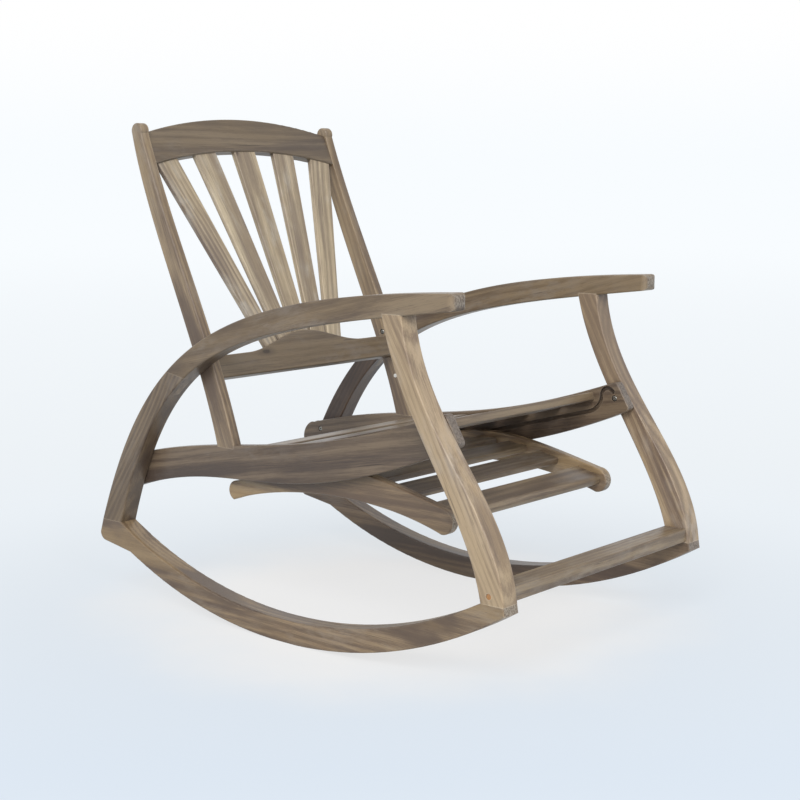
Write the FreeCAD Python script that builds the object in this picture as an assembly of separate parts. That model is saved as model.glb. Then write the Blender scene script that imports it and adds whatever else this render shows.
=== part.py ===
import FreeCAD, Part
import math
import os

Vector = FreeCAD.Vector

# A wooden rocking chair with a fan back and a pull-out footrest.
# Millimetres. X runs across the chair, the sitter faces -Y, Z is up and the floor is at Z = 0.
# Most pieces are boards cut to a side outline, so a place is a (y, z) pair on a side plane.
# A pull is the (y, z) step from a curved edge's end to the pole that draws it out of that end.

# Across the chair
overall_width = 650.0
member_thickness = 42.0
rail_thickness = 22.0
board_thickness = 20.0
board_side_gap = 4.0

# Rockers
rocker_radius = 1000.0
rocker_height = 45.0
floor_contact_y = -8.0
floor_flat_length = 70.0
toe_y = -533.5
toe_depth = 15.4
heel_block_y = 438.0
heel_rear_y = 524.0
heel_bottom_step = (-8.0, -47.0)
heel_turn_step = (4.5, -41.5)
heel_tip_step = (9.5, -29.0)

# Rear arches and armrests
arch_outer_foot_pull = (-137.0, 361.0)
arch_inner_foot_pull = (-131.0, 399.0)
armrest_front_y = -420.0
armrest_top = 688.0
armrest_tip_depth = 31.0
armrest_nose_radius = 12.0
armrest_corner_radius = 14.0
armrest_top_pull = (617.0, -26.0)
armrest_underside_pull = (542.0, -67.0)
splice_share = 0.389
splice_lean = 10.0
splice_tongue_length = 46.0
splice_tongue_width = 14.0

# Front legs
leg_top_front_y = -304.5
leg_top_depth = 46.0
leg_seat_depth = 2.0
leg_foot_front_y = -531.0
leg_front_top_pull = (-20.0, -195.0)
leg_front_foot_pull = (16.0, 175.0)
leg_rear_top_pull = (-37.0, -181.0)
leg_rear_foot_pull = (30.0, 156.0)

# Seat side rails
rail_rear_top = (483.0, 300.0)
rail_rear_tip_step = (18.0, -36.0)
rail_rear_bottom_step = (-7.0, -70.0)
rail_front_top = (-370.0, 474.0)
rail_front_bottom_step = (-33.0, -55.0)
rail_nose_radius = 9.0
rail_top_rear_pull = (-314.0, 84.0)
rail_top_front_pull = (403.0, -144.0)
rail_bottom_rear_pull = (-329.0, 116.0)
rail_bottom_front_pull = (468.0, -202.0)

# Back posts
post_foot_y = 162.0
post_foot_depth = 50.0
post_seat_depth = 2.0
post_top_front = (421.0, 966.0)
post_top_crown_step = (17.0, 20.0)
post_top_rear_step = (29.0, 0.0)
post_front_foot_pull = (77.0, 246.0)
post_front_top_pull = (-83.0, -232.0)
post_rear_foot_pull = (53.0, 202.0)
post_rear_top_pull = (-41.0, -185.0)

# Back rails and slats, with heights measured up the slope of the back
crest_drop = 61.0
crest_end_height = 70.0
crest_middle_height = 104.0
crest_underside_rise = 30.0
lower_rail_level = 484.0
lower_rail_height = 47.0
lower_rail_hump = 81.0
lower_rail_hump_reach = 172.0
lower_rail_hump_pull = 60.0
back_rail_thickness = 22.0
back_rail_recess = 2.0
back_slat_count = 5
back_slat_thickness = 12.0
back_slat_top_recess = 6.0
back_slat_foot_recess = 10.0
back_slat_top_width = 60.0
back_slat_foot_width = 41.0
back_slat_side_gap = 7.0
back_slat_foot_gap = 3.5
back_slat_housing = 10.0

# Seat slats
seat_slat_count = 6
seat_slat_front_y = -314.0
seat_slat_pitch = 80.0
seat_slat_width = 53.0
seat_slat_thickness = 16.0
seat_slat_recess = 6.0

# Cross members
stretcher_front_y = -525.0
stretcher_depth = 50.0
stretcher_lift = 2.0
stretcher_height = 26.0
stop_bar_y = 150.0
stop_bar_depth = 24.0
stop_bar_height = 34.0
stop_bar_gap = 0.5

# Footrest
board_rear_top_step = (109.0, -26.8)
board_rear_tip_step = (133.0, -47.8)
board_rear_bottom_step = (120.0, -65.8)
board_front_top_step = (-418.0, -6.8)
board_front_tip_step = (-441.0, -32.8)
board_front_bottom_step = (-415.0, -55.8)
board_top_rear_pull = (-223.0, 100.0)
board_top_front_pull = (208.0, 48.0)
board_bottom_rear_pull = (-120.0, 45.0)
board_bottom_front_pull = (174.0, 58.0)
footrest_slat_count = 3
footrest_slat_front_y = -250.0
footrest_slat_pitch = 80.0
footrest_slat_width = 50.0
footrest_slat_thickness = 13.0
footrest_slat_drop = 12.0
nose_slat_front_y = -354.0
nose_slat_width = 59.0
nose_slat_thickness = 21.0
nose_radius = 9.5
tie_bar_front_y = 96.0
tie_bar_width = 36.0
tie_bar_thickness = 16.0
tie_bar_drop = 14.0

# Groove for the footrest pins, on the inner face of each side rail
groove_depth = 8.0
groove_rear_y = 75.0
groove_front_y = -308.0
groove_rear_lift = 11.65
groove_front_lift = 27.8
groove_bend_radius = 38.0
groove_hook_radius = 14.5
groove_hook_rise = 36.3
groove_hook_turn = 55.0
pin_diameter = 8.0
pin_side_clearance = 0.3
pin_end_clearance = 1.0
pin_running_clearance = 0.05
pin_seat_depth = 14.0

# Joinery
tenon_length = 8.0
tenon_shoulder = 3.0
tenon_end_gap = 1.0
tenon_clearance = 0.1
back_tenon_length = 14.0
back_tenon_thickness = 12.0
dowel_diameter = 8.0
dowel_length = 50.0
dowel_foot_length = 18.0
dowel_pair_share = 0.3
dowel_clearance = 0.05
dowel_end_gap = 1.0
edge_radius = 3.0
slat_edge_radius = 2.5

# Bolts, screws, caps and plugs
bolt_diameter = 6.0
bolt_length = 48.0
bolt_head_diameter = 11.0
bolt_head_height = 4.5
bolt_recess_diameter = 12.5
bolt_recess_depth = 5.0
bolt_socket_sides = 6
bolt_socket_width = 4.0
bolt_socket_depth = 2.5
bolt_clearance = 0.25
front_bolt_step = (4.0, -34.5)
rear_bolt_steps = ((-21.0, -42.0), (-37.0, -10.0))
post_bolt_rise = 47.0
post_bolt_inset = 11.4
post_cap_level = 436.0
post_cap_inset = 20.2
cap_diameter = 9.0
cap_height = 2.0
cap_stem_diameter = 4.0
cap_stem_length = 12.0
screw_share = 0.62
screw_diameter = 5.0
screw_length = 60.0
screw_head_diameter = 9.0
screw_head_height = 3.0
plug_diameter = 11.0
plug_hole_depth = 10.0
plug_sink = 2.0

# Places worked out from the sizes above
half_width = overall_width / 2
member_inner_x = half_width - member_thickness
member_mid_x = half_width - member_thickness / 2
rail_inner_x = member_inner_x - rail_thickness
rail_mid_x = member_inner_x - rail_thickness / 2
board_outer_x = rail_inner_x - board_side_gap
board_inner_x = board_outer_x - board_thickness
groove_width = pin_diameter + 2 * pin_side_clearance
crest_level = post_top_front[1] - crest_drop
origin = Vector(0, 0, 0)
across = Vector(1, 0, 0)
upward = Vector(0, 0, 1)
tiny = 0.01
halvings = 50
nodes = {}


def point(place, x=0.0):
    """Point of a (y, z) place on the side plane at x."""
    return Vector(x, place[0], place[1])


def shifted(place, step):
    return (place[0] + step[0], place[1] + step[1])


def rocker_underside(y):
    """Place on the rocker's curved underside, which a worn flat cuts level with the floor."""
    reach = y - floor_contact_y
    flat_rise = rocker_radius - math.sqrt(rocker_radius ** 2 - (floor_flat_length / 2) ** 2)
    return (y, rocker_radius - math.sqrt(rocker_radius ** 2 - reach ** 2) - flat_rise)


def line(start, end):
    return Part.makeLine(point(start), point(end))


def arc(start, middle, end):
    return Part.Arc(point(start), point(middle), point(end)).toShape()


def sweep(poles):
    """Smooth edge from the first pole to the last, drawn out by the two between."""
    curve = Part.BezierCurve()
    curve.setPoles([point(pole) for pole in poles])
    return curve.toShape()


def edge_poles(start, start_pull, end_pull, end):
    return [start, shifted(start, start_pull), shifted(end, end_pull), end]


def place_on(poles, share):
    """Place on the smooth edge of these poles, with share 0 at its start and 1 at its end."""
    rest = 1 - share
    weights = (rest ** 3, 3 * rest ** 2 * share, 3 * rest * share ** 2, share ** 3)
    return tuple(sum(w * pole[axis] for w, pole in zip(weights, poles)) for axis in (0, 1))


def place_where(poles, axis, value):
    """Place on the smooth edge of these poles where its y (axis 0) or z (axis 1) is the value."""
    low, high = 0.0, 1.0
    rising = poles[-1][axis] > poles[0][axis]
    for _ in range(halvings):
        middle = (low + high) / 2
        if (place_on(poles, middle)[axis] < value) == rising:
            low = middle
        else:
            high = middle
    return place_on(poles, low)


def height_at(poles, y):
    return place_where(poles, 0, y)[1]


def depth_at(poles, z):
    return place_where(poles, 1, z)[0]


def board(edges, x_inner, thickness):
    """Board on the +X side, cut to a side outline."""
    face = Part.Face(Part.Wire(edges))
    face.translate(Vector(x_inner, 0, 0))
    return face.extrude(Vector(thickness, 0, 0))


def eased(solid, joint_levels=(), radius=edge_radius):
    """Round the rims of a board's two faces, except where it is jointed at a level."""
    def is_rim(edge):
        box = edge.BoundBox
        if box.XLength > tiny:
            return False
        return not any(box.ZLength < tiny and abs(box.ZMin - level) < tiny for level in joint_levels)
    return solid.makeFillet(radius, [edge for edge in solid.Edges if is_rim(edge)])


def cross_bar(front_top, lean, width, thickness, half_length, radius=0.0):
    """Bar across the chair from the (y, z) place of its top front edge, leaning by degrees."""
    bar = Part.makeBox(2 * half_length, width, thickness)
    if radius:
        bar = bar.makeFillet(radius, [e for e in bar.Edges if e.BoundBox.XLength > width])
    bar.translate(Vector(-half_length, 0, -thickness))
    bar.rotate(origin, across, lean)
    bar.translate(point(front_top))
    return bar


def tenon_bar(front_top, lean, width, thickness, half_length, grow=0.0):
    """Core of a cross bar that runs on as its two tenons, grown all round for the mortises."""
    inset = tenon_shoulder - grow
    bar = Part.makeBox(2 * half_length, width - 2 * inset, thickness - 2 * inset)
    bar.translate(Vector(-half_length, inset, inset - thickness))
    bar.rotate(origin, across, lean)
    bar.translate(point(front_top))
    return bar


def rod(start, direction, diameter, length):
    return Part.makeCylinder(diameter / 2, length, start, direction)


def mirrored(solid):
    return solid.mirror(origin, across)


def keep_both_sides(name, solid):
    """Keep the +X solid as the right piece and its mirror image as the left piece."""
    nodes[name + "_right"] = [solid]
    nodes[name + "_left"] = [mirrored(solid)]


def keep_group(name, right_solids):
    nodes[name] = right_solids + [mirrored(solid) for solid in right_solids]


def cut_all(solid, tools):
    for tool in tools:
        solid = solid.cut(tool)
    return solid


# Curved edges of the side members

foot_level = rocker_underside(toe_y)[1] + toe_depth
top_arc_rise = foot_level - rocker_height
top_arc_reach = math.sqrt(2 * rocker_radius * top_arc_rise - top_arc_rise ** 2)
leg_foot_rear_y = floor_contact_y - top_arc_reach
arch_foot_front_y = floor_contact_y + top_arc_reach
heel_corner = (heel_rear_y, foot_level)
stretcher_bottom = foot_level + stretcher_lift
screw_y = leg_foot_front_y + screw_share * (leg_foot_rear_y - leg_foot_front_y)
screw_place = (screw_y, stretcher_bottom + stretcher_height / 2)
post_top_rear = shifted(post_top_front, post_top_rear_step)

arch_outer = edge_poles((heel_rear_y, foot_level), arch_outer_foot_pull,
                        armrest_top_pull, (armrest_front_y, armrest_top))
arch_inner = edge_poles((arch_foot_front_y, foot_level), arch_inner_foot_pull,
                        armrest_underside_pull, (armrest_front_y, armrest_top - armrest_tip_depth))
leg_top_level = height_at(arch_inner, leg_top_front_y) + leg_seat_depth
leg_front = edge_poles((leg_top_front_y, leg_top_level), leg_front_top_pull,
                       leg_front_foot_pull, (leg_foot_front_y, foot_level))
leg_rear = edge_poles((leg_top_front_y + leg_top_depth, leg_top_level), leg_rear_top_pull,
                      leg_rear_foot_pull, (leg_foot_rear_y, foot_level))
rail_rear_tip = shifted(rail_rear_top, rail_rear_tip_step)
rail_rear_bottom = shifted(rail_rear_top, rail_rear_bottom_step)
rail_front_bottom = shifted(rail_front_top, rail_front_bottom_step)
rail_top = edge_poles(rail_rear_top, rail_top_rear_pull, rail_top_front_pull, rail_front_top)
rail_bottom = edge_poles(rail_rear_bottom, rail_bottom_rear_pull,
                         rail_bottom_front_pull, rail_front_bottom)
post_foot_level = height_at(rail_top, post_foot_y + post_foot_depth) - post_seat_depth
post_front = edge_poles((post_foot_y, post_foot_level), post_front_foot_pull,
                        post_front_top_pull, post_top_front)
post_rear = edge_poles((post_foot_y + post_foot_depth, post_foot_level), post_rear_foot_pull,
                       post_rear_top_pull, post_top_rear)
groove_rear = (groove_rear_y, height_at(rail_bottom, groove_rear_y) + groove_rear_lift)
groove_front = (groove_front_y, height_at(rail_bottom, groove_front_y) + groove_front_lift)
board_rear_top = shifted(groove_rear, board_rear_top_step)
board_rear_tip = shifted(groove_rear, board_rear_tip_step)
board_rear_bottom = shifted(groove_rear, board_rear_bottom_step)
board_front_top = shifted(groove_rear, board_front_top_step)
board_front_tip = shifted(groove_rear, board_front_tip_step)
board_front_bottom = shifted(groove_rear, board_front_bottom_step)
footboard_top = edge_poles(board_rear_top, board_top_rear_pull, board_top_front_pull, board_front_top)
footboard_bottom = edge_poles(board_rear_bottom, board_bottom_rear_pull,
                              board_bottom_front_pull, board_front_bottom)
splice_place = place_on(arch_inner, splice_share)
front_bolt = shifted(rail_front_top, front_bolt_step)
rear_bolts = [shifted(rail_rear_top, step) for step in rear_bolt_steps]
post_bolt_level = splice_place[1] + post_bolt_rise
post_bolt = (depth_at(arch_outer, post_bolt_level) - post_bolt_inset, post_bolt_level)
post_cap = (depth_at(post_front, post_cap_level) + post_cap_inset, post_cap_level)


def rocker():
    """Arc-shaped bar with flats for the leg and the arch, a worn flat below and a stop at the heel."""
    under = rocker_underside
    flat_front = floor_contact_y - floor_flat_length / 2
    flat_rear = floor_contact_y + floor_flat_length / 2
    heel_bottom = shifted(heel_corner, heel_bottom_step)
    heel_tip = shifted(heel_corner, heel_tip_step)
    edges = [
        arc(under(toe_y), under((toe_y + flat_front) / 2), under(flat_front)),
        line(under(flat_front), under(flat_rear)),
        arc(under(flat_rear), under((flat_rear + heel_block_y) / 2), under(heel_block_y)),
        line(under(heel_block_y), heel_bottom),
        arc(heel_bottom, shifted(heel_corner, heel_turn_step), heel_tip),
        line(heel_tip, heel_corner),
        line(heel_corner, (arch_foot_front_y, foot_level)),
        arc((arch_foot_front_y, foot_level), (floor_contact_y, rocker_height),
            (leg_foot_rear_y, foot_level)),
        line((leg_foot_rear_y, foot_level), (leg_foot_front_y, foot_level)),
        line((leg_foot_front_y, foot_level), under(toe_y)),
    ]
    return eased(board(edges, member_inner_x, member_thickness), (foot_level,))


def side_bow():
    """Armrest and rear arch in one piece, before they are parted at the splice."""
    edges = [
        sweep(arch_outer),
        line(arch_outer[-1], arch_inner[-1]),
        sweep(arch_inner),
        line((arch_foot_front_y, foot_level), (heel_rear_y, foot_level)),
    ]
    bow = board(edges, member_inner_x, member_thickness)
    nose_edges = [e for e in bow.Edges
                  if e.BoundBox.XLength > tiny and e.BoundBox.YMax < armrest_front_y + tiny]
    bow = bow.makeFillet(armrest_nose_radius, nose_edges)
    rims = [e for e in bow.Edges
            if e.BoundBox.XLength < tiny and e.BoundBox.ZMax > foot_level + tiny]
    return bow.makeFillet(edge_radius, rims).common(rounded_in_plan())


def rounded_in_plan():
    """Upright block as wide as a side member, with the corners at its front end rounded."""
    block = Part.makeBox(member_thickness, heel_rear_y - armrest_front_y + armrest_top, armrest_top)
    corners = [e for e in block.Edges
               if e.BoundBox.ZLength > armrest_top - tiny and e.BoundBox.YMax < tiny]
    block = block.makeFillet(armrest_corner_radius, corners)
    block.translate(Vector(member_inner_x, armrest_front_y, 0))
    return block


def leg():
    edges = [
        sweep(leg_front),
        line((leg_foot_front_y, foot_level), (leg_foot_rear_y, foot_level)),
        sweep(leg_rear),
        line((leg_top_front_y + leg_top_depth, leg_top_level), (leg_top_front_y, leg_top_level)),
    ]
    return eased(board(edges, member_inner_x, member_thickness), (foot_level, leg_top_level))


def splice_slab(depth, width):
    """Slab below the splice line when the depth is positive, or above it when negative."""
    reach = heel_rear_y - toe_y + armrest_top
    slab = Part.makeBox(width, 2 * reach, abs(depth))
    slab.translate(Vector(member_mid_x - width / 2, -reach, -depth if depth > 0 else 0))
    slab.rotate(origin, across, splice_lean)
    slab.translate(point(splice_place))
    return slab


def armrest_and_arch(seated_leg):
    """The bow parted at the splice, with a tongue on the armrest let into the arch."""
    bow = side_bow()
    above = splice_slab(-armrest_top, overall_width)
    tongue = bow.common(splice_slab(splice_tongue_length, splice_tongue_width))
    armrest = bow.common(above).fuse(tongue).removeSplitter()
    arch = bow.cut(above).cut(tongue)
    return armrest.cut(seated_leg), arch


def rail_blank():
    edges = [
        sweep(rail_top),
        line(rail_front_top, rail_front_bottom),
        sweep(rail_bottom),
        arc(rail_rear_bottom, rail_rear_tip, rail_rear_top),
    ]
    blank = board(edges, rail_inner_x, rail_thickness)
    nose_edges = [e for e in blank.Edges
                  if e.BoundBox.XLength > tiny and e.BoundBox.YMax < rail_front_top[0] + tiny]
    return eased(blank.makeFillet(rail_nose_radius, nose_edges))


def groove():
    """Channel for a footrest pin: a straight run, a bend upwards and a hook over to the front."""
    run = point(groove_front) - point(groove_rear)
    run.normalize()
    side = Vector(0, run.z, -run.y)
    bend_centre = point(groove_front) + side * groove_bend_radius
    bend_end = bend_centre - Vector(0, groove_bend_radius, 0)
    bend_middle = bend_centre - (side + Vector(0, 1, 0)).normalize() * groove_bend_radius
    hook_start = Vector(0, bend_end.y, groove_front[1] + groove_hook_rise)
    hook_centre = hook_start - Vector(0, groove_hook_radius, 0)
    turn = math.radians(groove_hook_turn)
    hook_crown = hook_centre + upward * groove_hook_radius
    hook_end = hook_centre + Vector(0, -math.sin(turn), math.cos(turn)) * groove_hook_radius
    path = Part.Wire([
        Part.makeLine(point(groove_rear), point(groove_front)),
        Part.Arc(point(groove_front), bend_middle, bend_end).toShape(),
        Part.makeLine(bend_end, hook_start),
        Part.Arc(hook_start, hook_crown, hook_end).toShape(),
    ])
    outline = path.makeOffset2D(groove_width / 2, fill=False, openResult=False)
    face = Part.Face(outline)
    face.translate(Vector(rail_inner_x, 0, 0))
    return face.extrude(Vector(groove_depth, 0, 0))


def post():
    edges = [
        sweep(post_front),
        arc(post_top_front, shifted(post_top_front, post_top_crown_step), post_top_rear),
        sweep(post_rear),
        line((post_foot_y + post_foot_depth, post_foot_level), (post_foot_y, post_foot_level)),
    ]
    return eased(board(edges, rail_inner_x, rail_thickness), (post_foot_level,))


# Back rails and slats are drawn upright, with their front faces on Y = 0, and then leaned back

def leaned(solid, foot, top):
    """Lean an upright solid so that its front face runs through the foot and top places."""
    lean = math.degrees(math.atan2(top[0] - foot[0], top[1] - foot[1]))
    solid.rotate(origin, across, -lean)
    solid.translate(point(foot))
    return solid


def upright(edges, thickness):
    return Part.Face(Part.Wire(edges)).extrude(Vector(0, thickness, 0))


def upright_line(start, end):
    return Part.makeLine(Vector(start[0], 0, start[1]), Vector(end[0], 0, end[1]))


def upright_arc(half_span, end_height, middle_height):
    return Part.Arc(Vector(-half_span, 0, end_height), Vector(0, 0, middle_height),
                    Vector(half_span, 0, end_height)).toShape()


def upright_sweep(poles):
    curve = Part.BezierCurve()
    curve.setPoles([Vector(x, 0, z) for x, z in poles])
    return curve.toShape()


def back_line(recess):
    """Foot and top places of a plane that lies behind the posts' front edges by the recess."""
    foot = (depth_at(post_front, lower_rail_level) + recess, lower_rail_level)
    top = (depth_at(post_front, crest_level) + recess, crest_level)
    return foot, top


def slope_of_back():
    foot, top = back_line(0)
    return math.hypot(top[0] - foot[0], top[1] - foot[1])


def back_tenons(base, height, grow=0.0):
    """The two tenons of a back rail, each rooted in the rail as deep as it is long."""
    length = 2 * back_tenon_length + (tenon_end_gap if grow else 0.0)
    inset = (back_rail_thickness - back_tenon_thickness) / 2
    tenon = Part.makeBox(length, back_tenon_thickness + 2 * grow, height - 2 * inset + 2 * grow)
    tenon.translate(Vector(rail_inner_x - back_tenon_length, inset - grow, base + inset - grow))
    return leaned(Part.makeCompound([tenon, mirrored(tenon)]), *back_line(back_rail_recess))


def crest_rail():
    base = slope_of_back()
    edges = [
        upright_arc(rail_inner_x, base, base + crest_underside_rise),
        upright_line((rail_inner_x, base), (rail_inner_x, base + crest_end_height)),
        upright_arc(rail_inner_x, base + crest_end_height, base + crest_middle_height),
        upright_line((-rail_inner_x, base + crest_end_height), (-rail_inner_x, base)),
    ]
    rail = upright(edges, back_rail_thickness)
    rims = [e for e in rail.Edges if e.BoundBox.YLength < tiny and e.BoundBox.XLength > rail_inner_x]
    rail = leaned(rail.makeFillet(edge_radius, rims), *back_line(back_rail_recess))
    return rail.fuse(back_tenons(base, crest_end_height))


def lower_back_rail():
    span = rail_inner_x
    reach = lower_rail_hump_reach
    pull = lower_rail_hump_pull
    height = lower_rail_height
    edges = [
        upright_line((-span, 0), (span, 0)),
        upright_line((span, 0), (span, height)),
        upright_line((span, height), (reach, height)),
        upright_sweep([(reach, height), (reach - pull, height), (pull, lower_rail_hump),
                       (0, lower_rail_hump)]),
        upright_sweep([(0, lower_rail_hump), (-pull, lower_rail_hump), (pull - reach, height),
                       (-reach, height)]),
        upright_line((-reach, height), (-span, height)),
        upright_line((-span, height), (-span, 0)),
    ]
    rail = upright(edges, back_rail_thickness)
    rims = [e for e in rail.Edges if e.BoundBox.YLength < tiny and e.BoundBox.XLength > tiny]
    rail = leaned(rail.makeFillet(edge_radius, rims), *back_line(back_rail_recess))
    return rail.fuse(back_tenons(0.0, lower_rail_height))


def back_slat(index):
    """Tapered slat of the fan, let into the crest rail above and the lower rail below."""
    half_count = (back_slat_count - 1) / 2
    outer_top_x = rail_inner_x - back_slat_side_gap - back_slat_top_width / 2
    offset = index - half_count
    top_x = offset / half_count * outer_top_x
    foot_x = offset * (back_slat_foot_width + back_slat_foot_gap)
    length = slope_of_back()
    foot_z = lower_rail_height - back_slat_housing
    tilt = (top_x - foot_x) / (length - foot_z)

    def corner(z, side):
        share = (z - foot_z) / (length - foot_z)
        width = back_slat_foot_width + (back_slat_top_width - back_slat_foot_width) * share
        return (foot_x + tilt * (z - foot_z) + side * width / 2, z)

    drop = crest_underside_rise * (top_x / rail_inner_x) ** 2
    top_z = length + crest_underside_rise - drop + back_slat_housing
    hump_share = max(0.0, 1 - abs(foot_x) / lower_rail_hump_reach)
    rise = (lower_rail_hump - lower_rail_height) * hump_share ** 2
    bottom_z = foot_z + rise
    corners = [corner(bottom_z, -1), corner(bottom_z, 1), corner(top_z, 1), corner(top_z, -1)]
    edges = [upright_line(a, b) for a, b in zip(corners, corners[1:] + corners[:1])]
    slat = upright(edges, back_slat_thickness)
    rims = [e for e in slat.Edges if e.BoundBox.YLength < tiny and e.BoundBox.ZLength > length / 2]
    slat = slat.makeFillet(slat_edge_radius, rims)
    foot = (depth_at(post_front, lower_rail_level) + back_slat_foot_recess, lower_rail_level)
    top = (depth_at(post_front, crest_level) + back_slat_top_recess, crest_level)
    return leaned(slat, foot, top)


def lean_along(poles, front_y, width):
    """Degrees by which a bar of this width leans when it follows the edge of these poles."""
    rise = height_at(poles, front_y + width) - height_at(poles, front_y)
    return math.degrees(math.atan2(rise, width))


def seat_slat(index):
    """Places and sizes of a seat slat, which follows the side rails' top edges."""
    front_y = seat_slat_front_y + index * seat_slat_pitch
    front_top = (front_y, height_at(rail_top, front_y) - seat_slat_recess)
    lean = lean_along(rail_top, front_y, seat_slat_width)
    return front_top, lean, seat_slat_width, seat_slat_thickness


def footrest_slat(index):
    front_y = footrest_slat_front_y + index * footrest_slat_pitch
    front_top = (front_y, height_at(footboard_top, front_y) - footrest_slat_drop)
    lean = lean_along(footboard_top, front_y, footrest_slat_width)
    return front_top, lean, footrest_slat_width, footrest_slat_thickness


def nose_slat_place():
    """Places and sizes of the wide front slat, which follows the boards' last straight stretch."""
    rear_y = nose_slat_front_y + nose_slat_width
    run = rear_y - board_front_top[0]
    lean = lean_along(footboard_top, board_front_top[0], run)
    rear_top = height_at(footboard_top, rear_y) - footrest_slat_drop
    front_top = (nose_slat_front_y, rear_top - nose_slat_width * math.tan(math.radians(lean)))
    return front_top, lean, nose_slat_width, nose_slat_thickness


def tie_bar_place():
    front_top = (tie_bar_front_y, height_at(footboard_top, tie_bar_front_y) - tie_bar_drop)
    return front_top, lean_along(footboard_top, tie_bar_front_y, tie_bar_width), \
        tie_bar_width, tie_bar_thickness


def stop_bar_place():
    """The bar lies just above the boards' rear ends, so that they bear up against it."""
    bottom = height_at(footboard_top, stop_bar_y) + stop_bar_gap
    return (stop_bar_y, bottom + stop_bar_height), 0.0, stop_bar_depth, stop_bar_height


def jointed_bar(place, half_span, radius=slat_edge_radius):
    """Cross bar with stub tenons past both ends of its half span, and its mortise tool."""
    bar = cross_bar(*place, half_span, radius)
    tenons = tenon_bar(*place, half_span + tenon_length)
    mortise = tenon_bar(*place, half_span + tenon_length + tenon_end_gap, tenon_clearance)
    return bar.fuse(tenons).removeSplitter(), mortise


def nose_slat():
    """The front slat of the footrest, with its front edge rounded over."""
    front_top, lean, width, thickness = nose_slat_place()
    bar = Part.makeBox(2 * board_inner_x, width, thickness)
    fronts = [e for e in bar.Edges if e.BoundBox.XLength > width and e.BoundBox.YMax < tiny]
    bar = bar.makeFillet(nose_radius, fronts)
    bar.translate(Vector(-board_inner_x, 0, -thickness))
    bar.rotate(origin, across, lean)
    bar.translate(point(front_top))
    place = (front_top, lean, width, thickness)
    tenons = tenon_bar(*place, board_inner_x + tenon_length)
    margin = thickness / 2
    half_tenons = Part.makeBox(overall_width, width / 2, thickness + 2 * margin)
    half_tenons.translate(Vector(-half_width, width / 2, -thickness - margin))
    half_tenons.rotate(origin, across, lean)
    half_tenons.translate(point(front_top))
    mortise = tenon_bar(*place, board_inner_x + tenon_length + tenon_end_gap, tenon_clearance)
    return bar.fuse(tenons.common(half_tenons)), mortise.common(half_tenons)


def dowel(x, y, joint_level, below):
    """Upright dowel across a joint level, and the hole for it."""
    start = Vector(x, y, joint_level - below)
    hole_start = start - upward * dowel_end_gap
    pin = rod(start, upward, dowel_diameter, dowel_length)
    hole = rod(hole_start, upward, dowel_diameter + 2 * dowel_clearance,
               dowel_length + 2 * dowel_end_gap)
    return pin, hole


def bolt(place):
    """Button-head bolt sunk flush in the inner face of a rail or post, and its hole."""
    face = point(place, rail_inner_x)
    seat = face + across * bolt_recess_depth
    head = rod(seat - across * bolt_head_height, across, bolt_head_diameter, bolt_head_height)
    rim = [e for e in head.Edges if e.BoundBox.XMax < seat.x - bolt_head_height / 2]
    head = head.makeFillet(bolt_head_height / 2, rim)
    turns = [2 * math.pi * side / bolt_socket_sides for side in range(bolt_socket_sides + 1)]
    corners = [seat - across * bolt_head_height
               + Vector(0, math.cos(turn), math.sin(turn)) * (bolt_socket_width / 2)
               for turn in turns]
    socket = Part.Face(Part.makePolygon(corners)).extrude(Vector(bolt_socket_depth, 0, 0))
    shank = rod(seat, across, bolt_diameter, bolt_length)
    recess = rod(face, across, bolt_recess_diameter, bolt_recess_depth)
    hole = rod(seat, across, bolt_diameter + 2 * bolt_clearance, bolt_length + bolt_clearance)
    return head.fuse(shank).cut(socket), recess.fuse(hole)


def small_cap():
    """Cap with a stem, pressed into the post's inner face."""
    seat = point(post_cap, rail_inner_x)
    head = rod(seat - across * cap_height, across, cap_diameter, cap_height)
    rim = [e for e in head.Edges if e.BoundBox.XMax < seat.x - cap_height / 2]
    head = head.makeFillet(cap_height / 2, rim)
    stem = rod(seat, across, cap_stem_diameter, cap_stem_length)
    hole = rod(seat, across, cap_stem_diameter + 2 * dowel_clearance, cap_stem_length + dowel_end_gap)
    return head.fuse(stem), hole


def stretcher_screw():
    """Screw through the leg into the stretcher's end, its plug and their hole."""
    face = point(screw_place, half_width)
    floor = face - across * plug_hole_depth
    head = rod(floor, across, screw_head_diameter, screw_head_height)
    shank = rod(floor, -across, screw_diameter, screw_length)
    plug_length = plug_hole_depth - screw_head_height - plug_sink
    plug = rod(floor + across * screw_head_height, across, plug_diameter, plug_length)
    bore = rod(floor, across, plug_diameter + 2 * dowel_clearance, plug_hole_depth)
    shank_hole = rod(floor, -across, screw_diameter + 2 * dowel_clearance,
                     screw_length + dowel_end_gap)
    return head.fuse(shank), plug, bore.fuse(shank_hole)


def footrest_pin():
    """Pin from a footrest board into the groove, and its running hole in the board."""
    inner = board_outer_x - pin_seat_depth
    outer = rail_inner_x + groove_depth - pin_end_clearance
    pin = rod(point(groove_rear, inner), across, pin_diameter, outer - inner)
    hole = rod(point(groove_rear, inner - pin_end_clearance), across,
               pin_diameter + 2 * pin_running_clearance, pin_seat_depth + 2 * pin_end_clearance)
    return pin, hole


def footboard_blank():
    edges = [
        sweep(footboard_top),
        arc(board_front_top, board_front_tip, board_front_bottom),
        sweep(footboard_bottom),
        arc(board_rear_bottom, board_rear_tip, board_rear_top),
    ]
    return eased(board(edges, board_inner_x, board_thickness))


# Dowels in the upright joints

def dowel_pair(front_y, rear_y, joint_level, below):
    """Two dowels, one before and one behind the middle of a joint, with their holes."""
    middle_y = (front_y + rear_y) / 2
    step = (rear_y - front_y) * dowel_pair_share
    return [dowel(member_mid_x, middle_y + side * step, joint_level, below) for side in (-1, 1)]


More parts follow.
